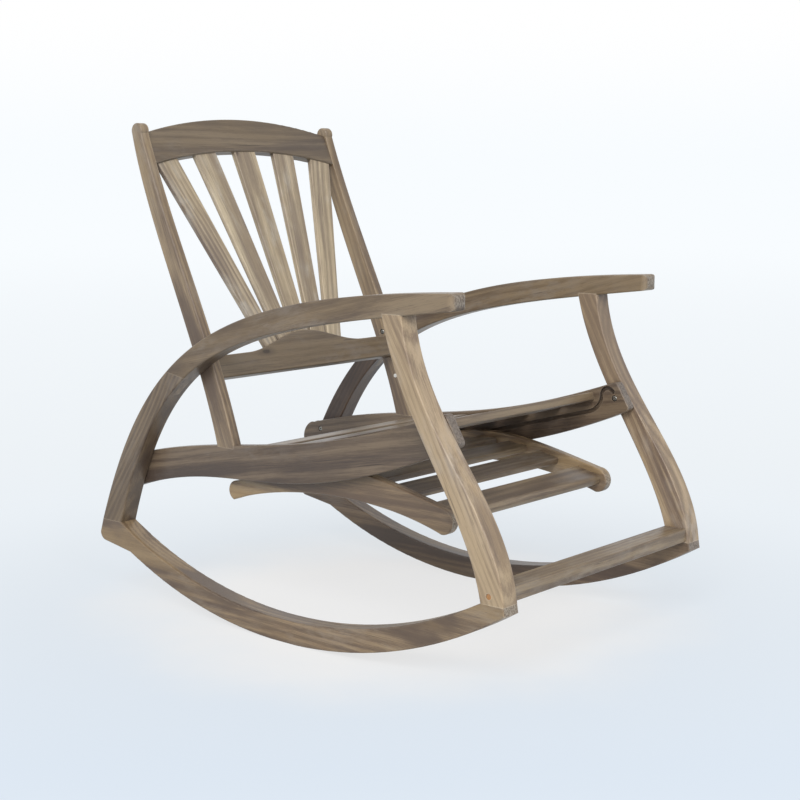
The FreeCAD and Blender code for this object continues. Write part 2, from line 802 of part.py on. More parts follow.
arm_dowel_y = leg_top_front_y + leg_top_depth / 2
arm_dowel_below = dowel_length - dowel_foot_length
foot_pairs = dowel_pair(leg_foot_front_y, leg_foot_rear_y, foot_level, dowel_foot_length)
arch_pairs = dowel_pair(arch_foot_front_y, heel_rear_y, foot_level, dowel_foot_length)
arm_pairs = [dowel(member_mid_x, arm_dowel_y, leg_top_level, arm_dowel_below)]
post_pair = dowel(rail_mid_x, post_foot_y + post_foot_depth / 2, post_foot_level, dowel_length / 2)
keep_group("joint_dowels", [pair[0] for pair in foot_pairs + arch_pairs + arm_pairs + [post_pair]])
foot_holes = [pair[1] for pair in foot_pairs]
arch_holes = [pair[1] for pair in arch_pairs]
arm_holes = [pair[1] for pair in arm_pairs]

# Bolts, caps, screws and plugs

front_bolt_solid, front_bolt_hole = bolt(front_bolt)
rear_bolt_pairs = [bolt(place) for place in rear_bolts]
post_bolt_solid, post_bolt_hole = bolt(post_bolt)
cap_solid, cap_hole = small_cap()
screw_solid, plug_solid, screw_hole = stretcher_screw()
rear_bolt_holes = [pair[1] for pair in rear_bolt_pairs]
keep_group("rail_bolts", [front_bolt_solid] + [pair[0] for pair in rear_bolt_pairs])
keep_group("post_bolts", [post_bolt_solid])
keep_group("post_caps", [cap_solid])
keep_group("stretcher_screws", [screw_solid])
keep_group("screw_plugs", [plug_solid])

# Cross bars and the mortises that they need

rail_mortises = []
for index in range(seat_slat_count):
    slat, mortise = jointed_bar(seat_slat(index), rail_inner_x)
    nodes["seat_slat_%d" % (index + 1)] = [slat]
    rail_mortises.append(mortise)
stop_bar, mortise = jointed_bar(stop_bar_place(), rail_inner_x)
nodes["under_seat_bar"] = [stop_bar]
rail_mortises.append(mortise)

board_mortises = []
for index in range(footrest_slat_count):
    slat, mortise = jointed_bar(footrest_slat(index), board_inner_x)
    nodes["footrest_slat_%d" % (index + 2)] = [slat]
    board_mortises.append(mortise)
tie_bar, mortise = jointed_bar(tie_bar_place(), board_inner_x)
nodes["footrest_tie_bar"] = [tie_bar]
board_mortises.append(mortise)
front_slat, mortise = nose_slat()
nodes["footrest_slat_1"] = [front_slat]
board_mortises.append(mortise)

stretcher_bar = cross_bar((stretcher_front_y, stretcher_bottom + stretcher_height), 0.0,
                          stretcher_depth, stretcher_height, member_inner_x, edge_radius)
nodes["front_stretcher"] = [cut_all(stretcher_bar, [screw_hole, mirrored(screw_hole)])]

# Back rails and slats

back_slats = [back_slat(index) for index in range(back_slat_count)]
nodes["crest_rail"] = [cut_all(crest_rail(), back_slats)]
nodes["lower_back_rail"] = [cut_all(lower_back_rail(), back_slats)]
for index, slat in enumerate(back_slats):
    nodes["back_slat_%d" % (index + 1)] = [slat]
back_mortises = [back_tenons(slope_of_back(), crest_end_height, tenon_clearance),
                 back_tenons(0.0, lower_rail_height, tenon_clearance)]

# Side members with their joints cut

leg_solid = leg()
armrest_solid, arch_solid = armrest_and_arch(leg_solid)
post_solid = post()
keep_both_sides("rocker", cut_all(rocker(), foot_holes + arch_holes))
keep_both_sides("front_leg", cut_all(leg_solid, foot_holes + arm_holes + [front_bolt_hole, screw_hole]))
keep_both_sides("armrest", cut_all(armrest_solid, arm_holes + [post_bolt_hole]))
keep_both_sides("rear_arch", cut_all(arch_solid, arch_holes + rear_bolt_holes + [post_bolt_hole]))
keep_both_sides("back_post", cut_all(post_solid, back_mortises + [post_bolt_hole, cap_hole, post_pair[1]]))
rail_cuts = [groove(), post_solid, front_bolt_hole, post_pair[1]] + rear_bolt_holes + rail_mortises
keep_both_sides("seat_rail", cut_all(rail_blank(), rail_cuts))

# Footrest boards and pins

pin_solid, pin_hole = footrest_pin()
keep_both_sides("footrest_board", cut_all(footboard_blank(), [pin_hole] + board_mortises))
keep_both_sides("footrest_pin", pin_solid)

# Files, one for each node

os.makedirs("parts", exist_ok=True)
for name, solids in nodes.items():
    shape = solids[0] if len(solids) == 1 else Part.makeCompound(solids)
    shape.exportStep("parts/%s.step" % name)
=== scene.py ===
import math
import random

import bpy
import numpy as np
from bpy.props import FloatProperty, FloatVectorProperty, PointerProperty
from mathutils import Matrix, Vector


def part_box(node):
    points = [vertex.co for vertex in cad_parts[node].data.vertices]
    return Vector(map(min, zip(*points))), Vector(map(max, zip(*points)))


bl_info = {
    "name": "Weathered rocking chair",
    "version": (1, 0, 0),
    "blender": (4, 5, 0),
    "location": "3D View > Sidebar > Chair",
    "description": "Dresses a slatted wooden rocking chair in weathered wood and sets its stage",
    "category": "Object",
}

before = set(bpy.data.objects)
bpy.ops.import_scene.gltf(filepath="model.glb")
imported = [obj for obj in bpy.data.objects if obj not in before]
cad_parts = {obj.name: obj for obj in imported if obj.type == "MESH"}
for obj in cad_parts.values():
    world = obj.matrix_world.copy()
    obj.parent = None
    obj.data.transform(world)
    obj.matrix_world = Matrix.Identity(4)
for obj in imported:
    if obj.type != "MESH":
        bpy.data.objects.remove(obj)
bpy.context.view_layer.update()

# The pieces by the way that they are finished, with left at -X

SIDES = ("left", "right")
LEGS = tuple(f"front_leg_{side}" for side in SIDES)
ARMRESTS = tuple(f"armrest_{side}" for side in SIDES)
POSTS = tuple(f"back_post_{side}" for side in SIDES)
SEAT_RAILS = tuple(f"seat_rail_{side}" for side in SIDES)
FOOTREST_BOARDS = tuple(f"footrest_board_{side}" for side in SIDES)
FOOTREST_PINS = tuple(f"footrest_pin_{side}" for side in SIDES)
BACK_SLATS = tuple(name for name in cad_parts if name.startswith("back_slat"))
SEAT_SLATS = tuple(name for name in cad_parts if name.startswith("seat_slat"))
FOOTREST_SLATS = tuple(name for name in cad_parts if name.startswith("footrest_slat"))
STEEL_PIECES = ("rail_bolts", "post_bolts", "stretcher_screws", *FOOTREST_PINS)

ACROSS_CHAIR = (1, 0, 0)
UPWARD = (0, 0, 1)
PLAIN_TINT = (1.0, 1.0, 1.0)

# How far a place is scaled for each figure of the wood, along the grain and across it

FIGURES = {
    "wander": (2.0, 7.0),
    "rings": (0.05, 1.0),
    "broad streaks": (1.6, 17.0),
    "narrow streaks": (4.5, 210.0),
    "fibres": (14.0, 700.0),
    "golden areas": (1.3, 15.0),
    "patches": (5.0, 13.0),
    "mottle": (26.0, 70.0),
    "knots": (4.0, 10.0),
    "pores": (45.0, 1300.0),
    "cracks": (6.0, 300.0),
    "cracked areas": (6.0, 20.0),
    "sawn ends": (300.0, 300.0),
}

# Values at which each figure begins to show and at which it is full

FADES = {
    "tone": (0.385, 0.615),
    "golden areas": (0.42, 0.62),
    "heartwood": (0.50, 0.39),
    "film patches": (0.46, 0.70),
    "film mottle": (0.35, 0.65),
    "knot rings": (0.17, 0.08),
    "knot cores": (0.088, 0.060),
    "pores": (0.60, 0.72),
    "cracks": (0.70, 0.75),
    "cracked areas": (0.52, 0.62),
    "sawn ends": (0.72, 0.93),
    "sawn grain": (0.35, 0.7),
    # Pale edges: partly rubbed wear, partly a painted highlight
    "rubbed edges": (0.985, 0.86),
    "rubbed mottle": (0.30, 0.55),
    "open places": (0.15, 0.75),
    "dull places": (0.7, 1.3),
    "tarnish": (0.45, 0.7),
    "soil": (0.5, 0.75),
    "specks": (0.3, 0.7),
}

# Most that each figure covers of the colour under it

COVERS = {
    "film": 0.5,
    "knot rings": 0.45,
    "knot cores": 0.8,
    "pores": 0.30,
    "cracks": 0.7,
    "sawn ends": 0.8,
    # Pale edges: partly rubbed wear, partly a painted highlight
    "rubbed edges": 0.5,
    # Painted shade in corners and where pieces meet
    "painted_shade": 0.55,
}

# Share of each figure in the grain's tone, and its height in the relief

TONE_SHARES = {"broad streaks": 0.40, "narrow streaks": 0.22, "fibres": 0.30, "rings": 0.08}
RELIEF = {"narrow streaks": 0.35, "fibres": 0.35, "cracks": -0.8, "pores": -0.2}

GRAIN_SWAY = 0.03               # metres that the grain wanders sideways, end to end
SWAY_UP_SHARE = 0.7             # of that, how much it also wanders up and down
WAVE_ANGLE = 20                 # radians that a wave texture turns in one unit of its place
RING_WAVER = {"Distortion": 3.0, "Detail": 3.0, "Detail Scale": 1.2, "Detail Roughness": 0.55}
HEART_SHARE = 0.5               # of the broad streaks in the heartwood, the rest being patches
KNOT_RAGGED = 0.04              # how ragged the knots' edges are
LEAST_RUBBED_HIGHLIGHT = 0.35             # of an edge's rubbing and painted highlight, what stays where the wood is mottled
WOOD_ROUGHNESS = (0.36, 0.52)
RELIEF_STRENGTH = 0.55
WOOD_GLOSS = {"Specular IOR Level": 0.5, "Coat Weight": 0.2, "Coat Roughness": 0.28}
SHADE_SAMPLES = 4

# Where in the log a piece is sawn from, in metres along it and out from its middle

LOG_REACH = 9
LOG_NEAR, LOG_FAR = 0.03, 0.09

# Floor: its tones follow a rise divided by the distance, and so crowd together far off as the
# tones of a level floor do. Reaches are metres from the chair's middle.

FLOOR_TONES_START = 3.13        # metres before the chair's middle, where the distance is nought
FLOOR_TONES_LEAST = 1.0         # least distance, so that the near floor has one tone
FLOOR_TONES_RISE = 0.9
MIDDLE_TONE, NEAR_TONE = 0.19, 0.40
# The whiter floor under the chair is a painted pool of light; WHITE_REACH sets where it fades out, and
# noise frays its edge
WHITE_REACH = (0.85, 0.45)
WHITE_EDGE_SCALE, WHITE_EDGE_SHARE = 3.0, 0.3
FAR_REACH = (5.0, 16.0)
SHADOW_REACH = (0.55, 1.4)
HORIZON_BAND = (0.0, 0.1)
FLOOR_ROUGHNESS = 0.9
WHITE_LIGHT = (1.0, 1.0, 1.0, 1.0)

KEY_TOWARD = (1.0, 0.5, -0.85)
KEY_SPREAD = math.radians(28)
LAMP_SIZE = (0.7, 0.9)
LAMP_PLACE = (-1.6, -2.6, 1.5)
LAMP_AIM = (0.1, -0.2, 0.35)
SENSOR_WIDTH = 36.0
VIEW_REACH = 200.0


def colour(red, green, blue):
    """Scene-linear colour from the three values, 0 to 255, that a screen shows."""
    def linear(value):
        share = value / 255
        return share / 12.92 if share <= 0.04045 else ((share + 0.055) / 1.055) ** 2.4
    return linear(red), linear(green), linear(blue)


def colour_property(name, description, default):
    """Colour that the panel can change."""
    return FloatVectorProperty(name=name, description=description, default=default,
                               subtype="COLOR", size=3, min=0.0, max=1.0)


class WoodFinish(bpy.types.PropertyGroup):
    """Colours and sizes of the weathered wood."""
    pale: colour_property("Pale grain", "Lightest streaks of the wood", colour(166, 148, 122))
    golden: colour_property("Golden grain", "Warm streaks of the wood", colour(150, 129, 96))
    middle: colour_property("Middle grain", "Most of the wood", colour(131, 114, 94))
    dark: colour_property("Dark grain", "Darkest streaks of the wood", colour(98, 83, 71))
    # This dark colour also paints the shade in corners and where pieces meet
    pore_and_shade: colour_property("Pores", "Pores, cracks and knots", colour(62, 48, 38))
    bleached: colour_property("Bleached grain", "Grey film of the finish", colour(166, 158, 148))
    end_grain: colour_property("End grain", "Sawn ends", colour(176, 170, 160))
    # Colour of the pale edges, which are partly rubbed wear and partly a painted highlight
    rubbed_highlight: colour_property("Rubbed and highlit edges", "Edges rubbed pale", colour(205, 192, 172))
    ring_spacing: FloatProperty(name="Ring spacing", description="Distance between growth rings",
                                default=0.011, min=0.001, unit="LENGTH")
    check_depth: FloatProperty(name="Check depth", description="Depth of the fine drying cracks",
                               default=0.0005, min=0.0, unit="LENGTH")
    # Reach of the painted shade in corners and where pieces meet
    painted_shade_reach: FloatProperty(name="Painted shade reach", description="Reach of the grime in the corners",
                               default=0.05, min=0.0, unit="LENGTH")
    # Width of the pale edges, which are partly rubbed wear and partly a painted highlight
    edge_width: FloatProperty(name="Edge width", description="Width of the rubbed edges",
                              default=0.0028, min=0.0, unit="LENGTH")


class Fastenings(bpy.types.PropertyGroup):
    """Colours of the metal pieces, caps and plugs."""
    steel: colour_property("Steel", "Bolts, screws and pins", colour(150, 147, 140))
    cap: colour_property("Cap", "Small caps on the back posts", colour(226, 224, 218))
    plug: colour_property("Plug", "Fresh wood over the screws", colour(176, 128, 84))


class Stage(bpy.types.PropertyGroup):
    """Floor, background, light and camera."""
    near_floor: colour_property("Near floor", "Floor in front of the chair", colour(224, 234, 245))
    middle_floor: colour_property("Middle floor", "Floor behind the chair", colour(237, 242, 246))
    far_floor: colour_property("Far floor", "Floor far behind the chair", colour(248, 252, 255))
    # The whiter floor under the chair is a painted pool of light
    white_floor: colour_property("White floor", "Whiter floor under the chair",
                                 colour(244, 244, 244))
    floor_glow: FloatProperty(name="Floor glow", default=0.8, min=0.0, max=1.0,
                              description="Share of the floor that takes no shadow")
    sky: colour_property("Backdrop", "Top of the backdrop", colour(255, 255, 255))
    floor_size: FloatProperty(name="Floor size", description="Side of the square floor",
                              default=60.0, min=1.0, unit="LENGTH")
    ambient: FloatProperty(name="Ambient", description="Strength of the light from all round",
                           default=0.34, min=0.0)
    key: FloatProperty(name="Key light", description="Strength of the main light",
                       default=1.6, min=0.0)
    fill: FloatProperty(name="Front light", description="Power of the broad lamp before the chair",
                        default=22.0, min=0.0)
    camera_place: FloatVectorProperty(name="Camera place", description="Where the camera stands",
                                      default=(-2.3664, -2.0525, 0.8961), subtype="TRANSLATION")
    camera_azimuth: FloatProperty(name="Camera azimuth", description="Turn of the view from +Y",
                                  default=math.radians(-49.405), subtype="ANGLE")
    camera_elevation: FloatProperty(name="Camera elevation", description="Height of the view",
                                    default=math.radians(8.454), subtype="ANGLE")
    lens: FloatProperty(name="Lens", description="Focal length", default=70.24, unit="CAMERA")


# Small helpers for node trees

def add_node(tree, kind, inputs=None, **settings):
    """Node of a kind with its settings, and its inputs by name or number, as values or as links."""
    node = tree.nodes.new(kind)
    for name, value in settings.items():
        setattr(node, name, value)
    for name, value in (inputs or {}).items():
        socket = node.inputs[name]
        if isinstance(value, bpy.types.NodeSocket):
            tree.links.new(value, socket)
        else:
            socket.default_value = value
    return node


def maths(tree, operation, first, second=0.0, third=0.0):
    """Result of a sum on values or links."""
    node = add_node(tree, "ShaderNodeMath", {0: first, 1: second, 2: third}, operation=operation)
    return node.outputs[0]


def stepped(tree, value, low, high, to_low=0.0, to_high=1.0):
    """Value eased from one range into another, and held at its ends."""
    inputs = {0: value, 1: low, 2: high, 3: to_low, 4: to_high}
    node = add_node(tree, "ShaderNodeMapRange", inputs, interpolation_type="SMOOTHSTEP")
    return node.outputs[0]


def mixed(tree, share, first, second, blend="MIX"):
    """Two colours mixed by a share."""
    node = add_node(tree, "ShaderNodeMix", data_type="RGBA", blend_type=blend)
    share_socket, first_socket, second_socket = node.inputs[0], node.inputs[6], node.inputs[7]
    for socket, value in ((share_socket, share), (first_socket, first), (second_socket, second)):
        if isinstance(value, bpy.types.NodeSocket):
            tree.links.new(value, socket)
        else:
            socket.default_value = value if isinstance(value, float) else (*value, 1.0)
    return node.outputs[2]


def drawn_out(tree, place, figure):
    """Place scaled along and across the grain as a figure of the wood asks."""
    along, across = FIGURES[figure]
    node = add_node(tree, "ShaderNodeVectorMath", {0: place, 1: (along, across, across)},
                    operation="MULTIPLY")
    return node.outputs[0]


def noise(tree, place, detail, scale=1.0, roughness=0.55):
    """Noise at a place."""
    node = add_node(tree, "ShaderNodeTexNoise", {"Vector": place, "Scale": scale, "Detail": detail,
                                                 "Roughness": roughness})
    return node.outputs["Fac"]


def figure_noise(tree, place, figure, detail, roughness=0.55):
    """Noise drawn out as a figure of the wood."""
    return noise(tree, drawn_out(tree, place, figure), detail=detail, roughness=roughness)


def summed(tree, parts):
    """Sum of values, each times its share."""
    total = None
    for value, share in parts:
        if total is None:
            total = maths(tree, "MULTIPLY", value, share)
        else:
            total = maths(tree, "MULTIPLY_ADD", value, share, total)
    return total


def covered(tree, colour_under, figure, amount, colour_over):
    """Colour with a figure laid over it, as far as that figure covers."""
    return mixed(tree, maths(tree, "MULTIPLY", amount, COVERS[figure]), colour_under, colour_over)


def looked_at(tree):
    """One where a ray comes from the view, a gloss or a clear piece, and nought elsewhere."""
    rays = tree.nodes.new("ShaderNodeLightPath").outputs
    mirrored = maths(tree, "MAXIMUM", rays["Is Glossy Ray"], rays["Is Transmission Ray"])
    return maths(tree, "MAXIMUM", rays["Is Camera Ray"], mirrored)


def new_material(name):
    """Empty material with its node tree and its shader."""
    material = bpy.data.materials.new(name)
    material.use_nodes = True
    return material, material.node_tree, material.node_tree.nodes["Principled BSDF"]


def wood_group(finish):
    """Node group that turns a place, with the grain along X, into weathered wood."""
    group = bpy.data.node_groups.new("Weathered wood", "ShaderNodeTree")
    for name in ("Place", "Normal"):
        group.interface.new_socket(name=name, in_out="INPUT", socket_type="NodeSocketVector")
    for name in ("Warmth", "Streaks"):
        group.interface.new_socket(name=name, in_out="INPUT", socket_type="NodeSocketFloat")
    group.interface.new_socket(name="Color", in_out="OUTPUT", socket_type="NodeSocketColor")
    for name in ("Roughness", "Height"):
        group.interface.new_socket(name=name, in_out="OUTPUT", socket_type="NodeSocketFloat")
    given = group.nodes.new("NodeGroupInput").outputs
    place = given["Place"]

    # Places wander a little, so that no line runs quite straight
    wander = figure_noise(group, place, "wander", detail=2.0)
    sway = maths(group, "MULTIPLY_ADD", wander, GRAIN_SWAY, -GRAIN_SWAY / 2)
    shift = add_node(group, "ShaderNodeCombineXYZ",
                     {"Y": sway, "Z": maths(group, "MULTIPLY", sway, SWAY_UP_SHARE)})
    swayed = add_node(group, "ShaderNodeVectorMath", {0: place, 1: shift.outputs[0]},
                      operation="ADD").outputs[0]

    # Growth rings, broad streaks, narrow streaks and fibres, all drawn out along the grain
    ring_scale = 2 * math.pi / (WAVE_ANGLE * finish.ring_spacing)
    rings = add_node(group, "ShaderNodeTexWave",
                     {"Vector": drawn_out(group, swayed, "rings"), "Scale": ring_scale, **RING_WAVER},
                     wave_type="RINGS", rings_direction="X", wave_profile="SIN").outputs["Fac"]
    broad = figure_noise(group, swayed, "broad streaks", detail=2.0, roughness=0.5)
    narrow = figure_noise(group, swayed, "narrow streaks", detail=5.0, roughness=0.7)
    fibre = figure_noise(group, swayed, "fibres", detail=4.0, roughness=0.7)
    gold = figure_noise(group, swayed, "golden areas", detail=2.0)
    patch = figure_noise(group, place, "patches", detail=3.0)
    mottle = figure_noise(group, place, "mottle", detail=4.0, roughness=0.65)

    # Colour of the grain
    tone = summed(group, ((broad, TONE_SHARES["broad streaks"]), (narrow, TONE_SHARES["narrow streaks"]),
                          (fibre, TONE_SHARES["fibres"]), (rings, TONE_SHARES["rings"])))
    ramp = add_node(group, "ShaderNodeValToRGB", {0: stepped(group, tone, *FADES["tone"])})
    stops = ramp.color_ramp.elements
    stops[0].color = (*finish.dark, 1.0)
    stops[1].color = (*finish.pale, 1.0)
    stops.new(0.5).color = (*finish.middle, 1.0)
    warm = maths(group, "MULTIPLY", stepped(group, gold, *FADES["golden areas"]), given["Warmth"])
    grain = mixed(group, warm, ramp.outputs[0], finish.golden)
    heart = summed(group, ((patch, 1 - HEART_SHARE), (broad, HEART_SHARE)))
    heart = maths(group, "MULTIPLY", stepped(group, heart, *FADES["heartwood"]), given["Streaks"])
    grain = mixed(group, heart, grain, finish.dark)
    film = maths(group, "MULTIPLY", stepped(group, patch, *FADES["film patches"]),
                 stepped(group, mottle, *FADES["film mottle"]))
    grain = covered(group, grain, "film", film, finish.bleached)

    # Knots are few, dark in the middle and ringed
    knot = add_node(group, "ShaderNodeTexVoronoi",
                    {"Vector": drawn_out(group, swayed, "knots"), "Scale": 1.0}, feature="F1")
    near = maths(group, "MULTIPLY_ADD", narrow, KNOT_RAGGED, knot.outputs["Distance"])
    grain = covered(group, grain, "knot rings", stepped(group, near, *FADES["knot rings"]), finish.dark)
    grain = covered(group, grain, "knot cores", stepped(group, near, *FADES["knot cores"]), finish.pore_and_shade)

    # Pores are short dark dashes, and fine drying cracks are longer, darker and sunk
    pores = stepped(group, figure_noise(group, swayed, "pores", detail=1.0), *FADES["pores"])
    grain = covered(group, grain, "pores", pores, finish.pore_and_shade)
    crack = figure_noise(group, swayed, "cracks", detail=1.5, roughness=0.4)
    where = figure_noise(group, place, "cracked areas", detail=1.0)
    crack = maths(group, "MULTIPLY", stepped(group, crack, *FADES["cracks"]),
                  stepped(group, where, *FADES["cracked areas"]))
    grain = covered(group, grain, "cracks", crack, finish.pore_and_shade)

    # Sawn ends face along the grain
    facing = add_node(group, "ShaderNodeSeparateXYZ", {0: given["Normal"]}).outputs[0]
    end = stepped(group, maths(group, "ABSOLUTE", facing), *FADES["sawn ends"])
    sawn = stepped(group, figure_noise(group, place, "sawn ends", detail=3.0), *FADES["sawn grain"])
    sawn = mixed(group, sawn, finish.end_grain, finish.dark)
    grain = covered(group, grain, "sawn ends", end, sawn)

    # Edges are paler: partly rubbed wear, partly a painted highlight along them
    soft = add_node(group, "ShaderNodeBevel", {"Radius": finish.edge_width}, samples=SHADE_SAMPLES)
    true_normal = group.nodes.new("ShaderNodeNewGeometry").outputs["Normal"]
    turn = add_node(group, "ShaderNodeVectorMath", {0: soft.outputs[0], 1: true_normal},
                    operation="DOT_PRODUCT").outputs["Value"]
    rubbed_highlight = maths(group, "MULTIPLY", stepped(group, turn, *FADES["rubbed edges"]),
                   stepped(group, mottle, *FADES["rubbed mottle"], LEAST_RUBBED_HIGHLIGHT, 1.0))
    grain = covered(group, grain, "rubbed edges", rubbed_highlight, finish.rubbed_highlight)

    # Painted shade: the wood is darkened towards the pore colour in corners and where pieces meet, where
    # shade falls
    corner = add_node(group, "ShaderNodeAmbientOcclusion", {"Distance": finish.painted_shade_reach},
                      samples=SHADE_SAMPLES).outputs["AO"]
    painted_shade = stepped(group, corner, *FADES["open places"])
    painted_shade = maths(group, "MULTIPLY_ADD", painted_shade, -COVERS["painted_shade"], COVERS["painted_shade"])
    grain = mixed(group, painted_shade, grain, finish.pore_and_shade)

    rough = stepped(group, maths(group, "ADD", fibre, patch), *FADES["dull places"], *WOOD_ROUGHNESS)
    height = summed(group, ((fibre, RELIEF["fibres"]), (narrow, RELIEF["narrow streaks"]),
                            (crack, RELIEF["cracks"]), (pores, RELIEF["pores"])))
    add_node(group, "NodeGroupOutput", {"Color": grain, "Roughness": rough, "Height": height})
    return group


def longest_direction(obj):
    """Direction in which a piece's points spread most, which its grain follows."""
    points = np.array([vertex.co for vertex in obj.data.vertices])
    spread = np.cov((points - points.mean(axis=0)).T)
    axis = Vector(np.linalg.eigh(spread)[1][:, -1])
    return axis if max(axis, key=abs) > 0 else -axis


def wood_material(name, obj, warmth, streaks, axis=None, tint=PLAIN_TINT):
    """Weathered wood whose grain runs along the piece, with a place in the log of its own."""
    finish = bpy.context.scene.chair_wood
    group = bpy.data.node_groups.get("Weathered wood") or wood_group(finish)
    chance = random.Random(name)
    axis = Vector(axis) if axis else longest_direction(obj)
    turn = axis.rotation_difference(Vector(ACROSS_CHAIR)).to_euler()
    low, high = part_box(obj.name)
    material, tree, shader = new_material(f"wood_{name}")
    source = tree.nodes.new("ShaderNodeTexCoord").outputs
    centred = add_node(tree, "ShaderNodeVectorMath", {0: source["Object"], 1: (low + high) / 2},
                       operation="SUBTRACT").outputs[0]
    log_place = (chance.uniform(-LOG_REACH, LOG_REACH),
                 chance.choice((-1, 1)) * chance.uniform(LOG_NEAR, LOG_FAR),
                 chance.choice((-1, 1)) * chance.uniform(LOG_NEAR, LOG_FAR))
    place = add_node(tree, "ShaderNodeMapping",
                     {"Vector": centred, "Rotation": turn, "Location": log_place})
    normal = add_node(tree, "ShaderNodeMapping", {"Vector": source["Normal"], "Rotation": turn},
                      vector_type="NORMAL")
    wood = add_node(tree, "ShaderNodeGroup", node_tree=group)
    tree.links.new(place.outputs[0], wood.inputs["Place"])
    tree.links.new(normal.outputs[0], wood.inputs["Normal"])
    wood.inputs["Warmth"].default_value = warmth
    wood.inputs["Streaks"].default_value = streaks
    # The tint scales the piece's colour; for the far rocker, the rear arches and the seat rails it
    # darkens them as painted shade
    toned = mixed(tree, 1.0, wood.outputs["Color"], tint, blend="MULTIPLY")
    bump = add_node(tree, "ShaderNodeBump", {"Strength": RELIEF_STRENGTH,
                                             "Distance": finish.check_depth,
                                             "Height": wood.outputs["Height"]})
    tree.links.new(toned, shader.inputs["Base Color"])
    tree.links.new(wood.outputs["Roughness"], shader.inputs["Roughness"])
    tree.links.new(bump.outputs[0], shader.inputs["Normal"])
    for socket, value in WOOD_GLOSS.items():
        shader.inputs[socket].default_value = value
    return material


def dress(name, material):
    """Give a node a material in all its slots."""
    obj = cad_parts[name]
    for part in obj.material_slots:
        part.material = material


def dress_in_wood(names, **look):
    """Give each node weathered wood of its own."""
    for name in names:
        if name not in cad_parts:
            raise RuntimeError(f"the chair has no piece named {name}")
        dress(name, wood_material(name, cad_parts[name], **look))


def speckled_material(name, base, figure, scale, detail, darkened, roughness, metallic=0.0):
    """Smooth material with fine darker specks, such as tarnish or soil."""
    material, tree, shader = new_material(name)
    place = tree.nodes.new("ShaderNodeTexCoord").outputs["Object"]
    specks = noise(tree, place, scale=scale, detail=detail)
    darker = tuple(value * darkened for value in base)
    tone = mixed(tree, stepped(tree, specks, *FADES[figure]), base, darker)
    tree.links.new(tone, shader.inputs["Base Color"])
    tree.links.new(stepped(tree, specks, *FADES["specks"], *roughness), shader.inputs["Roughness"])
    shader.inputs["Metallic"].default_value = metallic
    return material


class CHAIR_OT_rockers(bpy.types.Operator):
    """Finish the rockers, whose wood has long brown heartwood streaks"""
    bl_idname = "chair.rockers"
    bl_label = "Rockers"

    def execute(self, context):
        dress_in_wood(("rocker_left",), warmth=0.6, streaks=0.9, tint=(0.92, 0.85, 0.76))
        # The right rocker, on the far side, gets a darker tint as painted shade
        dress_in_wood(("rocker_right",), warmth=0.5, streaks=0.9, tint=(0.66, 0.6, 0.57))
        return {"FINISHED"}


class CHAIR_OT_side_frames(bpy.types.Operator):
    """Finish the legs, armrests and rear arches"""
    bl_idname = "chair.side_frames"
    bl_label = "Side frames"

    def execute(self, context):
        dress_in_wood(LEGS, warmth=0.35, streaks=0.35, tint=(1.36, 1.32, 1.3))
        dress_in_wood(ARMRESTS, warmth=0.5, streaks=0.6, tint=(0.72, 0.68, 0.64))
        # The rear arches get darker tints as painted shade behind the back, the far right one most
        dress_in_wood(("rear_arch_left",), warmth=0.4, streaks=0.6, tint=(0.6, 0.56, 0.53))
        dress_in_wood(("rear_arch_right",), warmth=0.3, streaks=0.6, tint=(0.42, 0.34, 0.31))
        return {"FINISHED"}


class CHAIR_OT_seat(bpy.types.Operator):
    """Finish the seat rails, the seat slats, the front stretcher and the bar under the seat"""
    bl_idname = "chair.seat"
    bl_label = "Seat"

    def execute(self, context):
        # The seat rails' dark tint is partly the boards' own tone, partly painted shade under the
        # armrests and the seat
        dress_in_wood(SEAT_RAILS, warmth=0.35, streaks=0.45, tint=(0.54, 0.5, 0.49))
        dress_in_wood(SEAT_SLATS, axis=ACROSS_CHAIR, warmth=0.4, streaks=0.5, tint=(0.72, 0.7, 0.7))
        dress_in_wood(("front_stretcher", "under_seat_bar"), axis=ACROSS_CHAIR, warmth=0.5,
                      streaks=0.4, tint=(0.92, 0.88, 0.82))
        return {"FINISHED"}


class CHAIR_OT_back(bpy.types.Operator):
    """Finish the back's posts, rails and fan of slats"""
    bl_idname = "chair.back"
    bl_label = "Back"

    def execute(self, context):
        dress_in_wood(POSTS, warmth=0.4, streaks=0.4, tint=(1.02, 0.97, 0.91))
        dress_in_wood(("crest_rail", "lower_back_rail"), axis=ACROSS_CHAIR, warmth=0.45,
                      streaks=0.3, tint=(0.6, 0.58, 0.57))
        dress_in_wood(BACK_SLATS, warmth=0.25, streaks=0.35, tint=(1.7, 1.8, 1.88))
        return {"FINISHED"}


class CHAIR_OT_footrest(bpy.types.Operator):
    """Finish the pull-out footrest"""
    bl_idname = "chair.footrest"
    bl_label = "Footrest"

    def execute(self, context):
        dress_in_wood(FOOTREST_BOARDS, warmth=0.6, streaks=0.5, tint=(1.1, 1.02, 0.9))
        dress_in_wood(FOOTREST_SLATS, axis=ACROSS_CHAIR, warmth=0.5, streaks=0.5,
                      tint=(0.85, 0.84, 0.84))
        dress_in_wood(("footrest_tie_bar",), axis=ACROSS_CHAIR, warmth=0.4, streaks=0.5)
        return {"FINISHED"}


